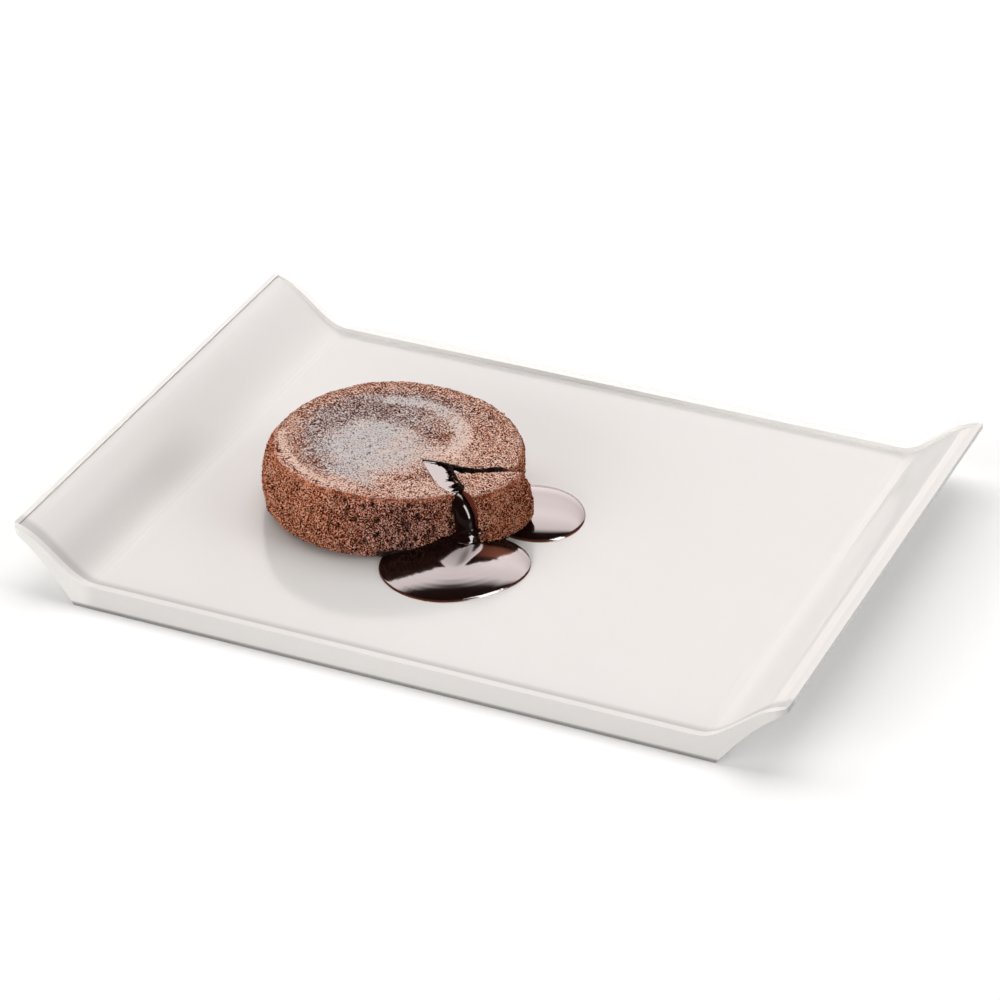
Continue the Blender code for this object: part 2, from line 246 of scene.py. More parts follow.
glaze, tree, shader = principled("white_porcelain_glaze")
place = add_node("TexCoord").outputs["Object"]
where = add_node("SeparateXYZ", Vector=place)
plate_x, plate_y, plate_z = (where.outputs[axis] for axis in "XYZ")
# Painted light and painted shade on the glaze, each mask 1 where it is full.
painted_light_left_end = smooth(plate_x, -96.5 * MM, -102.5 * MM)
painted_shade_left_half = smooth(plate_x, -5 * MM, -85 * MM)
painted_shade_front_groove = product(smooth(plate_y, -88.4 * MM, -87.8 * MM), smooth(plate_y, -82.2 * MM, -85.2 * MM))
painted_light_back_lip = smooth(plate_y, 87.2 * MM, 87.8 * MM)
painted_shade_left_crease = product(
    smooth(plate_x, -116 * MM, -109 * MM),
    smooth(plate_x, -100 * MM, -107 * MM),
    product(smooth(plate_y, 10 * MM, -25 * MM), smooth(plate_y, -92 * MM, -82 * MM)),
)
# A painted contact shadow, darkest along the plate's foot.
painted_foot_shadow = smooth(plate_z, 1.8 * MM, 0.6 * MM)
shade = product(*(scaled(mask, change, 1.0) for mask, change in (
    (painted_light_left_end, 0.15),
    (painted_shade_left_half, -0.055),
    (painted_shade_front_groove, -0.26),
    (painted_light_back_lip, 0.28),
    (painted_shade_left_crease, -0.16),
    (painted_foot_shadow, -0.6),
)))
cloud = cloudy(9.0, 3.0)
toned = add_node("VectorMath")
toned.operation = "SCALE"
feed(toned.inputs["Vector"], blend(cloud, GLAZE_DARK, GLAZE_PALE))
feed(toned.inputs["Scale"], shade)
sheen = add_node("MapRange", Value=cloud, To_Min=GLAZE_ROUGHNESS[0], To_Max=GLAZE_ROUGHNESS[1])
wave = add_node("Bump", Strength=0.12, Distance=GLAZE_RIPPLE, Height=cloudy(45.0, 2.0, roughness=0.4))
feed(shader.inputs["Base Color"], toned.outputs["Vector"])
feed(shader.inputs["Roughness"], sheen.outputs["Result"])
feed(shader.inputs["Normal"], wave.outputs["Normal"])
shader.inputs["Specular IOR Level"].default_value = GLAZE_SPECULAR
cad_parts["plate"].data.materials.clear()
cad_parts["plate"].data.materials.append(glaze)


# Cake and wedge: baked chocolate sponge with an open, sandy crumb, dusted with icing sugar that has partly
# melted into the crust. The wedge was cut from the cake and pulled out, and sauce has soaked the faces of the
# cut and the foot of the walls by the pools. Lengths here are in millimetres.
CAKE_MIDDLE, WEDGE_MIDDLE = (-36.7, -1.5), (-33.3, -2.6)
TOP_HEIGHT, TOP_RADIUS = 27.2, 37.4
TOP_TILT = (-0.031, -0.041)
TOP_WAVE = 0.117
WELD = 0.001
# Icing sugar, about the cake's middle: thickness from 0 to 1, middle, reach, softness and heading in degrees.
SUGAR_OVALS = (
    (0.36, (32, 0), (14, 26), 0.6, 0),
    (0.52, (20, -27), (18, 8), 0.6, 35),
    (0.34, (-27, -6), (10, 22), 0.5, 0),
    (0.42, (0, 14), (17, 8), 0.6, 0),
    (0.96, (-4, -9), (18, 17), 0.65, 0),
    (0.90, (-6, 2), (14, 7), 0.8, 0),
    (0.80, (-2, -26), (11, 9), 0.9, 0),
    (0.58, (-4, -34), (8, 6), 0.8, 0),
    (0.82, (15, -3), (9, 6), 0.8, 0),
)
# Thickness, middle, radius, width, and the headings in degrees where the arc starts and ends.
SUGAR_ARCS = (
    (0.84, (-3, 3), 21.3, 3.2, -20, 128),
    (0.98, (-3, 3), 21.3, 3.4, -20, 62),
    (0.80, (0, 0), 36.2, 1.6, 196, 268),
)
# Patches where the sugar lies thinner, given as the ovals are.
BROWN_OVALS = ((0.12, (-9, 14), (8, 4), 0.7, 0), (0.16, (9, 9), (6.5, 4), 0.6, 0))
THINNEST_SUGAR = 0.26
# Where the crust is baked warmest on top, besides its right side and its rim; part of it is a painted
# highlight.
WARM_HIGHLIGHT_OVAL = ((17, -27), (15, 9), 0.5, 0)
# Heading of the wall's painted shade, and how far round from it painted light turns it warm, in degrees.
SHADED_HEADING, SHADED_SPREAD = 296, 35
# The crumb's relief. Of each pair, the first is for the wall and the second for the top.
GRAINS_PER_MM = (0.95, 1.40)
GAP_DEPTH = (0.42, 0.08)
HOLE_DEPTH = (0.60, 0.10)
FINE_SWELL = (0.16, 0.05)
LUMP_SWELL = 0.20
TOP_SETTLES = 0.06
HOLES_PER_MM = 0.42
# The share of the relief that sauce fills where the crumb is wet.
WET_FILLS = 0.8
# Grains and pores stand taller than they are wide, so a pattern reads heights shortened to this share.
SHORTENED = 0.62
# What the crumb's material reads at each vertex.
CRUMB_VALUES = ("sugar", "pit", "wet", "sunk", "warm")


def rise(value, start, end):
    """0 until value reaches start, 1 from end on, and straight between them. End may be below start."""
    return min(max((value - start) / (end - start), 0), 1)


def mix(pair, share):
    """The first of two numbers where share is 0 and the second where it is 1."""
    return pair[0] + (pair[1] - pair[0]) * share


def soft_oval(x, y, middle, reach, softness, heading):
    """1 inside an oval that is turned by its heading in degrees, and 0 outside it."""
    dx, dy = x - middle[0], y - middle[1]
    cosine, sine = math.cos(math.radians(heading)), math.sin(math.radians(heading))
    away = math.hypot((dx * cosine + dy * sine) / reach[0], (dy * cosine - dx * sine) / reach[1])
    return rise(away, 1 + softness / 2, 1 - softness / 2)


def soft_arc(x, y, middle, radius, width, start, end):
    """1 along part of a ring, between two headings in degrees, and 0 away from it."""
    dx, dy = x - middle[0], y - middle[1]
    away = abs(math.hypot(dx, dy) - radius) / width
    angle = math.degrees(math.atan2(dy, dx)) % 360
    centre, half = (start + end) / 2, (end - start) / 2
    past_end = abs((angle - centre + 180) % 360 - 180) - half
    return rise(away, 1.5, 0.5) * rise(past_end, 8, -8)


def sugar_cover(x, y):
    """How thickly the icing sugar lies at a place on the top, from 0 to 1."""
    ovals = [thickness * soft_oval(x, y, *oval) for thickness, *oval in SUGAR_OVALS]
    arcs = [thickness * soft_arc(x, y, *arc) for thickness, *arc in SUGAR_ARCS]
    cover = max(THINNEST_SUGAR, *ovals, *arcs)
    for thickness, *oval in BROWN_OVALS:
        cover -= thickness * soft_oval(x, y, *oval)
    patchy = noise.noise(Vector((x, y, 0)) * 0.22) * 0.22 + noise.noise(Vector((x, y, 9)) * 0.7) * 0.14
    return rise(cover + patchy * (1.2 - cover), 0, 1)


# On the wall this gives painted shade at the front and painted light round the rest, by heading.
def crust_warmth_and_light(x, y, on_top):
    """How warm a brown the crust has, 0 and below for the coolest and 1 and above for the warmest."""
    if on_top:
        return max((x + 4) / 24, soft_oval(x, y, *WARM_HIGHLIGHT_OVAL), (math.hypot(x, y) - 28) / 6)
    heading = math.degrees(math.atan2(y, x)) % 360
    return abs(heading - SHADED_HEADING) / SHADED_SPREAD - 0.1


def top_level(away):
    """Height of the cake's top, which tilts and waves a little, at a place about its piece's middle."""
    heading = math.atan2(away.y, away.x)
    wave_share = min(away.length / TOP_RADIUS, 1) ** 2
    tilted = TOP_HEIGHT + TOP_TILT[0] * away.x + TOP_TILT[1] * away.y
    return tilted + TOP_WAVE * wave_share * (math.sin(3 * heading) + math.sin(7 * heading))


def crumb_relief(here, on_top):
    """The gap between grains and the hole at a place, each from 0 to 1, and the crumb's swell there."""
    shortened = Vector((here.x, here.y, here.z * SHORTENED))
    nearest = noise.voronoi(shortened * mix(GRAINS_PER_MM, on_top))[0]
    gap = 1 - rise(nearest[1] - nearest[0], 0, 0.32)
    to_hole = noise.voronoi(shortened * HOLES_PER_MM + Vector((7, 3, 5)))[0][0]
    lumps = noise.noise(here * 0.35) + 0.5 * noise.noise(here * 0.9)
    fine = noise.noise(here * 2.6)
    swell = (LUMP_SWELL * lumps + FINE_SWELL[0] * fine) * (1 - on_top)
    swell += (FINE_SWELL[1] * fine - TOP_SETTLES) * on_top
    return gap, rise(to_hole, 0.34, 0.22), swell


def one_skin(blank, voxel):
    """Gives a blank one closed skin of even faces, this many millimetres wide."""
    skin = blank.modifiers.new("one_skin", "REMESH")
    skin.mode = "VOXEL"
    skin.voxel_size = voxel * MM


def applied(blank):
    """The mesh that a blank's curve and modifiers make. The blank goes."""
    bpy.context.view_layer.update()
    graph = bpy.context.evaluated_depsgraph_get()
    mesh = bpy.data.meshes.new_from_object(blank.evaluated_get(graph))
    bpy.data.objects.remove(blank)
    return mesh


def welded(solid):
    """A bmesh of a CAD solid, its loose triangles joined."""
    cage = bmesh.new()
    cage.from_mesh(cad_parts[solid].data)
    bmesh.ops.remove_doubles(cage, verts=cage.verts, dist=WELD * MM)
    return cage


def even_cage(solid, voxel):
    """A bmesh of a CAD solid in small even faces, with one face for its flat underside."""
    blank = add_piece(solid + "_blank", mesh_of(welded(solid), solid + "_blank"))
    one_skin(blank, voxel)
    cage = bmesh.new()
    cage.from_mesh(applied(blank))
    low = min(vertex.co.z for vertex in cage.verts) + 0.3 * MM
    underside = [face for face in cage.faces if face.normal.z < -0.8 and face.calc_center_median().z < low]
    bmesh.ops.delete(cage, geom=underside, context="FACES")
    bmesh.ops.contextual_create(cage, geom=[edge for edge in cage.edges if edge.is_boundary])
    cage.normal_update()
    return cage


def baked(name, node, voxel, middle, wet_at):
    """A cake solid with its crumb cut in as relief, and with the values that its material reads."""
    cage = even_cage(node, voxel)
    layers = {kind: cage.verts.layers.float.new(kind) for kind in CRUMB_VALUES}
    moved = []
    for vertex in cage.verts:
        here, out = vertex.co / MM, vertex.normal
        x, y = here.x - CAKE_MIDDLE[0], here.y - CAKE_MIDDLE[1]
        on_top = rise(out.z, 0.80, 0.95)
        gap, hole, swell = crumb_relief(here, on_top)
        wet = wet_at(here, out)
        depth = gap * mix(GAP_DEPTH, on_top) + hole * mix(HOLE_DEPTH, on_top)
        shift = (swell - depth) * (1 - WET_FILLS * min(wet, 1))
        moved.append((vertex, vertex.co + out * shift * MM))
        values = (
            sugar_cover(x, y),
            min(gap * 0.4 + hole, 1) * (1 - on_top),
            wet,
            top_level(Vector((here.x - middle[0], here.y - middle[1]))) - here.z,
            rise(crust_warmth_and_light(x, y, on_top) + 0.35 * noise.noise(here * 0.15), 0, 1),
        )
        for kind, value in zip(CRUMB_VALUES, values):
            vertex[layers[kind]] = value
    highest = cad_box[1][2] - 0.01 * MM
    for vertex, place_now in moved:
        vertex.co = place_now
        vertex.co.z = min(vertex.co.z, highest)
    cage.normal_update()
    piece = add_piece(name, mesh_of(cage, name))
    piece.data.shade_smooth()
    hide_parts(node)
    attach(piece, "root")
    return piece


def soaked_and_shaded_foot(here, height):
    """Sauce drawn up the foot of a wall, to about this height; its dark is also painted shade at the wall's
    base.
    """
    return rise(here.z - 0.6 * noise.noise(here * 0.5), height, height - 1.2)


def cake_wet(here, out):
    """The faces inside the notch, and the foot of the wall where the front pool stands."""
    from_middle = math.hypot(here.x - CAKE_MIDDLE[0], here.y - CAKE_MIDDLE[1])
    inside = rise(from_middle, 37.0, 35.5) * rise(abs(out.z), 0.5, 0.2)
    foot = soaked_and_shaded_foot(here, 10.6) * rise(here.x, -30, -22) * (here.y < -10)
    return max(inside, foot)


def wedge_wet(here, out):
    """The wedge's cut face towards the stream, the torn face behind, and its foot."""
    cut = rise(out.dot(Vector((-0.6, -0.75, 0))), 0.35, 0.55) * rise(here.x, 1.0, 0.0)
    cut *= 1 + 0.5 * rise(here.y, -19.0, -23.0)
    torn = 0.8 * rise(out.dot(Vector((-0.5, 0.85, 0))), 0.5, 0.7)
    return max(cut, torn, soaked_and_shaded_foot(here, 9.6))


# The crumb's colours. Each ramp runs from the deepest pore to the palest grain: the dark wall ramp, painted
# shade at the front, the warm wall ramp, partly painted light round the rest, cool_crust under thick sugar
# and warm_crust beyond it.
LIT_WARM_WALL = (
    (0.12, (0.06, 0.012, 0.005)),
    (0.28, (0.38, 0.078, 0.029)),
    (0.45, (0.93, 0.212, 0.088)),
    (0.64, (1.00, 0.33, 0.165)),
    (0.84, (1.00, 0.60, 0.41)),
)
SHADED_DARK_WALL = (
    (0.08, (0.008, 0.003, 0.002)),
    (0.32, (0.14, 0.032, 0.018)),
    (0.52, (0.58, 0.150, 0.088)),
    (0.72, (1.00, 0.37, 0.26)),
    (0.93, (1.00, 0.69, 0.58)),
)
COOL_CRUST = (
    (0.00, (0.020, 0.006, 0.004)),
    (0.20, (0.11, 0.029, 0.016)),
    (0.40, (0.28, 0.092, 0.058)),
    (0.60, (0.45, 0.190, 0.135)),
    (0.78, (0.58, 0.365, 0.310)),
    (0.92, (0.70, 0.625, 0.610)),
    (1.00, (0.80, 0.77, 0.77)),
)
WARM_CRUST = (
    (0.00, (0.032, 0.007, 0.003)),
    (0.20, (0.19, 0.040, 0.015)),
    (0.40, (0.46, 0.120, 0.052)),
    (0.60, (0.72, 0.245, 0.128)),
    (0.78, (0.88, 0.43, 0.275)),
    (0.92, (0.96, 0.64, 0.50)),
    (1.00, (1.00, 0.80, 0.71)),
)
# Painted shade for the gaps between grains, the pits of the wall and the open pores of the top.
GAP_SHADE, PIT_SHADE, PORE_SHADE = (0.016, 0.004, 0.002, 1), (0.010, 0.003, 0.002, 1), (0.020, 0.007, 0.005, 1)
BAKED_SHOULDER, PALE_SHOULDER = (0.50, 0.135, 0.060, 1), (0.90, 0.34, 0.19, 1)
# A painted highlight along the top's rim, cool under sugar and warm beyond it.
COOL_RIM_HIGHLIGHT, WARM_RIM_HIGHLIGHT = (0.90, 0.76, 0.71, 1), (1.0, 0.66, 0.52, 1)
SOAKED_CRUMB, SAUCE_FILM = (0.010, 0.004, 0.003, 1), (0.15, 0.034, 0.020, 1)
GRAIN_SCALE, PORE_SCALE = 2500, 820
GRAIN_WANDER = 1.1 * MM


def attribute(name):
    """A value that the piece's mesh carries."""
    made = add_node("Attribute")
    made.attribute_name = name
    return made.outputs["Fac"]


def voronoi(scale, feature="F1"):
    """Cells that are taller than wide and a little bent, with scale of them to the metre."""
    made = add_node("TexVoronoi", Vector=bend.outputs["Vector"], Scale=scale)
    made.feature = feature
    return made


crumb, tree, shader = principled("baked_chocolate_crumb")
place = add_node("TexCoord").outputs["Object"]
shortened = add_node("Mapping", Vector=place, Scale=(1, 1, SHORTENED)).outputs["Vector"]
bend = add_node("VectorMath")
bend.operation = "MULTIPLY_ADD"
wander = add_node("TexNoise", Vector=shortened, Scale=1300.0, Detail=1.0).outputs["Color"]
for socket, given in zip(bend.inputs, (wander, (GRAIN_WANDER,) * 3, shortened)):
    feed(socket, given)
grains, pores = voronoi(GRAIN_SCALE), voronoi(PORE_SCALE)
gaps = voronoi(GRAIN_SCALE, "DISTANCE_TO_EDGE").outputs["Distance"]
by_grain = add_node("SeparateColor", Color=grains.outputs["Color"])
by_pore = add_node("SeparateColor", Color=pores.outputs["Color"])
sugar, pit, wet, sunk, warm = (attribute(name) for name in CRUMB_VALUES)
broad = cloudy(170, 3.0)

# The wall: how pale each grain is, then painted shade in the gaps and pits, then the smoother shoulder
# under the top's edge.
tone = scaled(cloudy(2150, 2.0), 5.8, scaled(by_grain.outputs["Red"], 0.60, -3.20))
tone = scaled(broad, 0.8, tone)
# Painted shade on the wall's front and painted light round the rest, by heading, over its own colour.
wall = blend(warm, ramp_of(tone, SHADED_DARK_WALL), ramp_of(tone, LIT_WARM_WALL))
wall = blend(product(smooth(gaps, 0.12, 0.02), 0.4), wall, GAP_SHADE)
wall = blend(product(pit, smooth(warm, 0, 1, 0.85, 0.45)), wall, PIT_SHADE)
shoulder = product(smooth(sunk, 2.4, 1.0), smooth(tone, 0.1, 0.7, 0.20, 0.60))
wall = blend(shoulder, wall, blend(smooth(broad, 0.35, 0.65), BAKED_SHOULDER, PALE_SHOULDER))

# The top: sugar lifts the grains towards white, and it closes more of the pores where it lies thickly.
fleck = scaled(cloudy(2050, 2.0), 6.2, scaled(by_grain.outputs["Red"], 0.50, -3.10))
fleck = scaled(sugar, 1.10, fleck)
crust = blend(warm, ramp_of(fleck, COOL_CRUST), ramp_of(fleck, WARM_CRUST))
closed_share = scaled(sugar, 0.50, 0.30)
is_open = smooth(by_pore.outputs["Red"], closed_share, maths("ADD", closed_share, 0.07))
# The open pores get painted shade.
pore = product(smooth(pores.outputs["Distance"], 0.38, 0.20), is_open)
crust = blend(product(pore, 0.92), crust, PORE_SHADE)

# Wall and top meet at a ragged line, with a painted highlight along the rim that they make.
edge = scaled(cloudy(900, 2.0), 1.0, scaled(sunk, 1.0, -0.5))
skin = blend(smooth(edge, 0.38, 0.26), wall, crust)
rim = product(
    smooth(edge, 0.12, 0.28),
    smooth(edge, 0.76, 0.52),
    smooth(cloudy(420, 2.0), 0.36, 0.60, 0.25, 0.85),
    smooth(tone, 0.1, 0.6, 0.3, 1.0),
    smooth(by_grain.outputs["Blue"], 0.10, 0.35, 0.55, 1.0),
)
skin = blend(rim, skin, blend(warm, COOL_RIM_HIGHLIGHT, WARM_RIM_HIGHLIGHT))

# Sauce darkens the crumb that it soaks and makes it shine, and stands on the wettest of it as a brown film.
skin = blend(smooth(wet, 0.0, 0.7), skin, SOAKED_CRUMB)
skin = blend(smooth(wet, 0.95, 1.25), skin, SAUCE_FILM)
hollow = scaled(pore, -1.0, smooth(gaps, 0.0, 0.25))
relief = add_node("Bump", Strength=0.9, Distance=0.3 * MM, Height=hollow)
feed(shader.inputs["Base Color"], skin)
feed(shader.inputs["Roughness"], smooth(wet, 0.0, 1.0, 0.85, 0.16))
feed(shader.inputs["Specular IOR Level"], smooth(wet, 0.0, 1.0, 0.0, 0.10))
feed(shader.inputs["Normal"], relief.outputs["Normal"])

cake = baked("souffle_cake_baked", "souffle_cake", 0.40, CAKE_MIDDLE, cake_wet)
wedge = baked("cake_wedge_baked", "cake_wedge", 0.30, WEDGE_MIDDLE, wedge_wet)
for piece in (cake, wedge):
    piece.data.materials.append(crumb)


# Sauce: warm molten chocolate, nearly black in depth and red-brown where it thins at the edge of a pool. It
# wells out of the cut, runs over the lip in one stream and spreads on the plate in two pools, each drawn into
# a low dome by surface tension. Lengths here are in millimetres.
PLATE_FLOOR, SAUCE_FOOT = 6.2, 6.15
DEEP_SAUCE, THIN_SAUCE = (0.006, 0.002, 0.0016, 1), (0.13, 0.040, 0.024, 1)
# A painted reflection of the wedge's lit side, laid in the front pool's colour.
WEDGE_REFLECTION_COLOUR = (0.17, 0.056, 0.034, 1)
SAUCE_ROUGHNESS, SAUCE_IOR = 0.11, 1.47
# Oval and lobes each give a share of the radius and a heading in degrees.
SIDE_POOL = {
    "middle": (5.8, 5.9), "radius": 16.8, "height": 4.05, "fullness": 0.60,
    "oval": (-0.043, 62), "lobes": (0.022, 69), "crown_back": 0, "steps": 160, "rings": 28,
}
FRONT_POOL = {
    "middle": (-3.5, -33.7), "radius": 21.45, "height": 5.08, "fullness": 0.68,
    "oval": (0.113, 35), "lobes": (0.034, 47), "crown_back": 8, "steps": 192, "rings": 40,
}
# A painted reflection of the wedge's brown side in the front pool: middle, reach, softness and heading in
# degrees.
WEDGE_REFLECTION_OVAL = ((5.6, -27.0), (7.5, 3.0), 0.6, 32)
# The mound where the stream meets the front pool. Its left side is a slope and its right side a step.
MOUND_HEIGHT = 2.8
MOUND_MIDDLE = (-2.6, -25.0)
MOUND_LEFT, MOUND_RIGHT, MOUND_LONG = 10.0, 4.6, 13.0
# The stream from the pocket over the lip and down: x, y, height over the plate's floor, and radius.
STREAM = (
    (-15.0, -15.6, 18.4, 1.5),
    (-10.2, -20.2, 18.1, 2.1),
    (-6.3, -23.4, 17.2, 2.4),
    (-4.1, -24.6, 14.2, 2.6),
    (-3.4, -24.8, 9.6, 2.7),
    (-2.9, -25.4, 7.6, 3.4),
    (-2.5, -26.4, 6.2, 3.6),
    (-2.5, -26.6, 5.2, 3.4),
)
# The bead of sauce that hangs beside the stream.
BEAD_MIDDLE, BEAD_RADIUS, BEAD_STRETCH = (0.3, -25.4, 15.6), 1.4, (1.35, 1.0, 0.8)
POURED_VOXEL = 0.28
# How far the stream swells, and the height below which sauce is set flat on the plate.
STREAM_SWELL, FLAT_BELOW = 0.5, 6.75


def pool_cage(middle, radius, height, fullness, oval, lobes, crown_back, steps, rings):
    """A dome of sauce on the plate, spun from its profile, then made oval and lobed, its crown moved back."""
    cage = bmesh.new()
    shares = [math.sin(math.pi / 2 * ring / rings) for ring in range(rings + 1)]
    profile = [(radius * share, height * (1 - share**2) ** fullness) for share in shares]
    verts = [cage.verts.new((out * MM, 0, up * MM)) for out, up in profile + [(0, 0)]]
    edges = [cage.edges.new(pair) for pair in zip(verts, verts[1:])]
    bmesh.ops.spin(
        cage, geom=verts + edges, cent=(0, 0, 0), axis=(0, 0, 1), angle=math.tau, steps=steps, use_merge=True
    )
    bmesh.ops.remove_doubles(cage, verts=cage.verts, dist=WELD * MM)
    bmesh.ops.recalc_face_normals(cage, faces=cage.faces)
    for vertex in cage.verts:
        heading = math.atan2(vertex.co.y, vertex.co.x)
        grow = 1 + oval[0] * math.cos(2 * (heading - math.radians(oval[1])))
        grow += lobes[0] * math.cos(3 * (heading - math.radians(lobes[1])))
        inwards = 1 - min(math.hypot(vertex.co.x, vertex.co.y) / (radius * MM), 1)
        vertex.co.x = vertex.co.x * grow + middle[0] * MM
        vertex.co.y = vertex.co.y * grow + middle[1] * MM + crown_back * MM * inwards
        vertex.co.z += SAUCE_FOOT * MM
    return cage


def set_thinness(piece):
    """Marks where the sauce is a thin skin over the plate, from its height, and the painted reflection of the
    wedge.
    """
    thin = piece.data.attributes.new("thin", "FLOAT", "POINT")
    wedge_reflection = piece.data.attributes.new("wedge_reflection", "FLOAT", "POINT")
    for index, vertex in enumerate(piece.data.vertices):
        x, y, z = (length / MM for length in vertex.co)
        thin.data[index].value = rise(z - PLATE_FLOOR, 0.75, 0.15)
        wedge_reflection.data[index].value = 0.8 * soft_oval(x, y, *WEDGE_REFLECTION_OVAL) * rise(x, -0.6, 0.2) * rise(z, 12, 10.5)


def tube(name, runs, sides, steps, foot=0.0):
    """Round runs as one curve object. A run's places give x, y, height over the foot, and radius."""
    curve = bpy.data.curves.new(name, "CURVE")
    curve.dimensions = "3D"
    curve.bevel_depth = 1.0
    curve.bevel_resolution = sides
    curve.resolution_u = steps
    curve.use_fill_caps = True
    for places in runs:
        spline = curve.splines.new("BEZIER")
        spline.bezier_points.add(len(places) - 1)
        for point, (x, y, z, radius) in zip(spline.bezier_points, places):
            point.co = (x * MM, y * MM, (z + foot) * MM)
            point.radius = radius * MM
            point.handle_left_type = "AUTO"
            point.handle_right_type = "AUTO"
    return add_piece(name, curve)


sauce, tree, shader = principled("molten_chocolate_sauce")
place = add_node("TexCoord").outputs["Object"]
sauce_z = add_node("SeparateXYZ", Vector=place).outputs["Z"]
by_depth = blend(attribute("thin"), DEEP_SAUCE, THIN_SAUCE)
feed(shader.inputs["Base Color"], blend(attribute("wedge_reflection"), by_depth, WEDGE_REFLECTION_COLOUR))
shader.inputs["Roughness"].default_value = SAUCE_ROUGHNESS
shader.inputs["IOR"].default_value = SAUCE_IOR
# The level sauce, in the pools and up in the pocket, mirrors more than the steep stream between them.
is_level = maths("ADD", smooth(sauce_z, 13.0 * MM, 10.0 * MM), smooth(sauce_z, 25.0 * MM, 26.4 * MM))
feed(shader.inputs["Specular IOR Level"], scaled(is_level, 0.13, 0.12))

side = add_piece("side_pool_of_sauce", mesh_of(pool_cage(**SIDE_POOL), "side_pool_of_sauce"))
side.data.shade_smooth()
set_thinness(side)
side.data.materials.append(sauce)
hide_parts("side_sauce_pool")
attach(side, "root")

front_cage = pool_cage(**FRONT_POOL)
for vertex in front_cage.verts:
    if vertex.co.z > (PLATE_FLOOR + 0.1) * MM:
        aside = vertex.co.x / MM - MOUND_MIDDLE[0]
        lengthwise = (vertex.co.y / MM - MOUND_MIDDLE[1]) / MOUND_LONG
        slope = (aside / MOUND_LEFT) ** 2 if aside < 0 else (aside / MOUND_RIGHT) ** 4
        vertex.co.z += MOUND_HEIGHT * MM * math.exp(-slope - lengthwise**2)
poured = welded("molten_sauce")
poured.from_mesh(mesh_of(front_cage, "front_pool_blank"))
poured.from_mesh(applied(tube("stream_blank", (STREAM,), sides=12, steps=20, foot=PLATE_FLOOR)))
bead_middle = Matrix.Translation([length * MM for length in BEAD_MIDDLE])
bead_place = bead_middle @ Matrix.Diagonal((*BEAD_STRETCH, 1))
bmesh.ops.create_icosphere(poured, subdivisions=3, radius=BEAD_RADIUS * MM, matrix=bead_place)
poured_blank = add_piece("molten_sauce_blank", mesh_of(poured, "molten_sauce_blank"))
one_skin(poured_blank, POURED_VOXEL)
ease = poured_blank.modifiers.new("surface_tension", "SMOOTH")
ease.factor = 0.5
ease.iterations = 14
molten = add_piece("molten_sauce_poured", applied(poured_blank))
outwards = [vertex.normal.copy() for vertex in molten.data.vertices]
for vertex, out in zip(molten.data.vertices, outwards):
    lift = rise(vertex.co.z / MM, 13, 16)
    vertex.co.x += out.x * STREAM_SWELL * MM * lift
    vertex.co.y += out.y * STREAM_SWELL * MM * lift
    if vertex.co.z < FLAT_BELOW * MM:
        vertex.co.z = SAUCE_FOOT * MM
molten.data.shade_smooth()
set_thinness(molten)
molten.data.materials.append(sauce)
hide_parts("molten_sauce")
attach(molten, "root")


# Dark lumps: they cling along the wedge's inner edge, hang from it in teeth over the pocket, and lie in the
# crack behind. Near black, they are painted shade in the crack and a painted reflection of the wedge's ragged
# edge in the sauce.
# Painted shade and painted reflection, mottled near black.
LUMP_SHADE_DARK, LUMP_SHADE_PALE = (0.002, 0.001, 0.001, 1), (0.012, 0.004, 0.003, 1)
# Each run's places give x, y, z and radius in millimetres: the edge, five teeth, then the crack.
DARK_LUMP_RUNS = (
    (
        (-24.5, -10.2, 27.1, 0.14), (-22.3, -9.9, 27.1, 0.20), (-20.0, -9.8, 27.0, 0.26),
        (-17.6, -10.1, 27.0, 0.42), (-15.4, -10.7, 27.0, 0.75), (-13.5, -12.6, 27.0, 0.42),
        (-12.1, -14.3, 27.0, 0.42), (-10.2, -16.5, 27.0, 0.40), (-8.3, -18.5, 27.0, 0.50),
        (-6.9, -20.3, 26.9, 0.88), (-5.8, -21.9, 26.6, 0.80),
    ),
    ((-13.4, -12.8, 27.0, 0.48), (-14.3, -13.1, 27.0, 0.40), (-15.3, -13.3, 27.0, 0.10)),
    ((-11.0, -15.7, 27.0, 0.45), (-12.0, -17.0, 27.0, 0.46), (-13.2, -18.4, 27.0, 0.10)),
    ((-12.2, -14.4, 27.0, 0.40), (-12.9, -14.9, 27.0, 0.38), (-13.7, -15.4, 27.0, 0.10)),
    ((-8.0, -18.9, 27.0, 0.60), (-9.2, -20.2, 27.0, 0.60), (-10.7, -21.7, 27.0, 0.12)),
    ((-7.0, -20.6, 26.9, 0.78), (-7.8, -22.0, 26.9, 0.55), (-8.8, -23.4, 26.7, 0.12)),
    (
        (-15.6, -10.6, 26.9, 0.60), (-13.9, -10.3, 26.9, 0.55), (-12.4, -10.3, 26.9, 0.42),
        (-11.2, -9.8, 26.9, 0.55), (-10.0, -9.5, 26.9, 0.40), (-9.0, -8.9, 26.8, 0.35),
        (-7.8, -8.6, 26.7, 0.22),
    ),
)
DARK_LUMP_VOXEL = 0.13

dark_lump_material, tree, shader = principled("painted_shade_lumps")
place = add_node("TexCoord").outputs["Object"]
mottled = blend(smooth(cloudy(900.0, 2.0), 0.45, 0.70), LUMP_SHADE_DARK, LUMP_SHADE_PALE)
feed(shader.inputs["Base Color"], mottled)
shader.inputs["Roughness"].default_value = 0.5
shader.inputs["Specular IOR Level"].default_value = 0.004

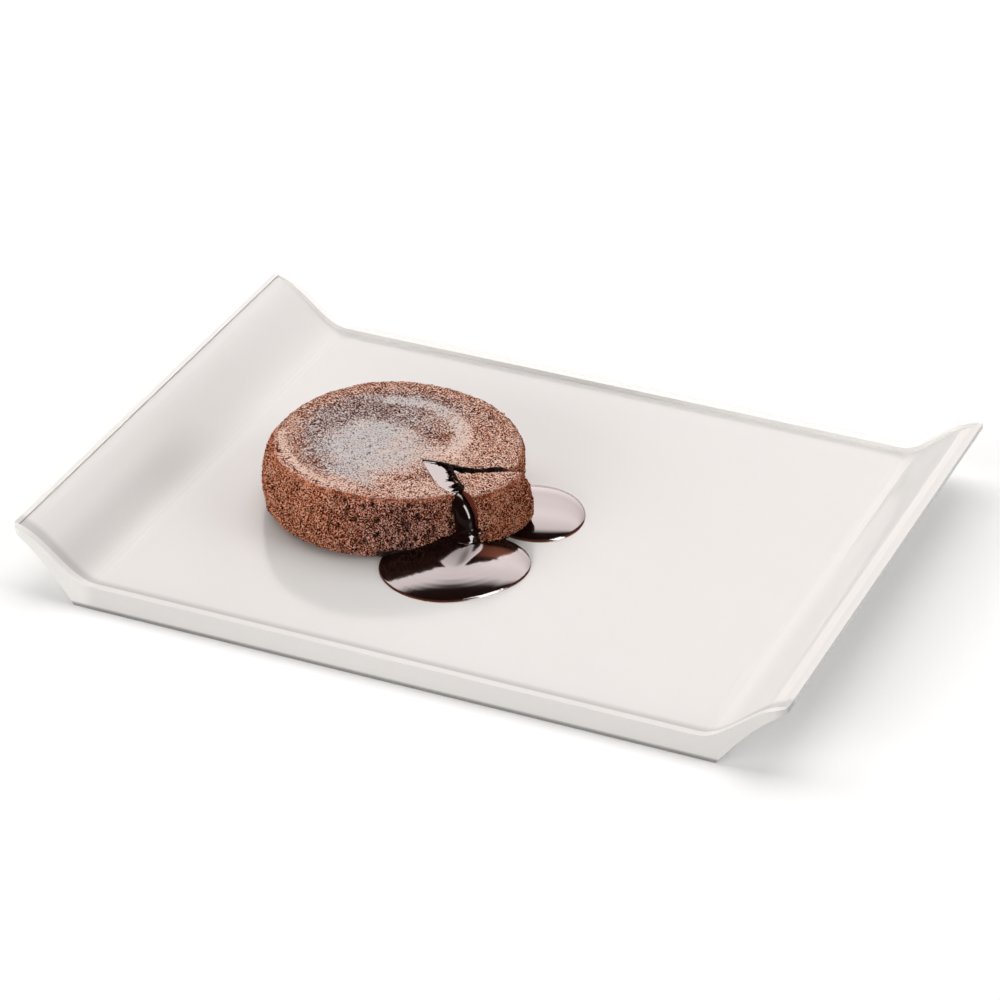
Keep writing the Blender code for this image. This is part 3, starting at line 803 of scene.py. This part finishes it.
dark_lump_blank = tube("dark_lump_blank", DARK_LUMP_RUNS, sides=4, steps=8)
one_skin(dark_lump_blank, DARK_LUMP_VOXEL)
dark_lumps = add_piece("shade_and_reflection_lumps", applied(dark_lump_blank))
outwards = [vertex.normal.copy() for vertex in dark_lumps.data.vertices]
for vertex, out in zip(dark_lumps.data.vertices, outwards):
    bumpy = 0.45 * noise.noise(vertex.co / MM * 0.6) + 0.28 * noise.noise(vertex.co / MM * 1.5)
    vertex.co += Vector((out.x, out.y, out.z * 0.5)) * bumpy * MM
dark_lumps.data.shade_smooth()
dark_lumps.data.materials.append(dark_lump_material)
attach(dark_lumps, "root")


# Loose crumbs: sandy grains of the same sponge, rubbed free as the cake left its ring. They cling to the wall
# and to the top's edge, each half sunk in the crumb behind it.
CRUMB_RADIUS = (0.16, 0.34)
CRUMB_STRETCH = (0.8, 1.3)
CRUMB_PROUD = 0.35
# No crumb sits on a face flatter, wetter or wider than this: its normal's rise, wet value and area.
FLATTEST_SEAT, WETTEST_SEAT, WIDEST_SEAT = 0.55, 0.2, 1 * MM**2
BATCH = 60
draw = random.Random(11)


def loose_crumbs(name, piece, count):
    """Small grains on a baked piece, each with the crumb's values at the place where it sits."""
    source = piece.data
    taken = {kind: source.attributes[kind].data for kind in CRUMB_VALUES}
    seats = [
        face for face in source.polygons
        if face.normal.z < FLATTEST_SEAT and face.area < WIDEST_SEAT
        and taken["wet"][face.vertices[0]].value < WETTEST_SEAT
    ]
    joined = bmesh.new()
    for kind in CRUMB_VALUES:
        joined.verts.layers.float.new(kind)
    seats = draw.sample(seats, count)
    # Grains are made in small batches, because adding to one large bmesh gets slower with each of them.
    for start in range(0, count, BATCH):
        cage = bmesh.new()
        layers = {kind: cage.verts.layers.float.new(kind) for kind in CRUMB_VALUES}
        for seat in seats[start:start + BATCH]:
            size = draw.uniform(*CRUMB_RADIUS) * MM
            at = Matrix.Translation(seat.center + seat.normal * size * CRUMB_PROUD)
            at @= Matrix.Rotation(draw.uniform(0, 6), 4, Vector((draw.random(), draw.random(), 1)))
            at @= Matrix.Diagonal((draw.uniform(*CRUMB_STRETCH), draw.uniform(*CRUMB_STRETCH), 1, 1))
            made = bmesh.ops.create_icosphere(cage, subdivisions=1, radius=size, matrix=at)
            values = [taken[kind][seat.vertices[0]].value for kind in CRUMB_VALUES]
            for vertex in made["verts"]:
                for kind, value in zip(CRUMB_VALUES, values):
                    vertex[layers[kind]] = value
        batch = mesh_of(cage, "batch")
        joined.from_mesh(batch)
        bpy.data.meshes.remove(batch)
    crumbs = add_piece(name, mesh_of(joined, name))
    crumbs.data.materials.append(crumb)
    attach(crumbs, "root")


loose_crumbs("cake_crumbs", cake, 7500)
loose_crumbs("wedge_crumbs", wedge, 900)
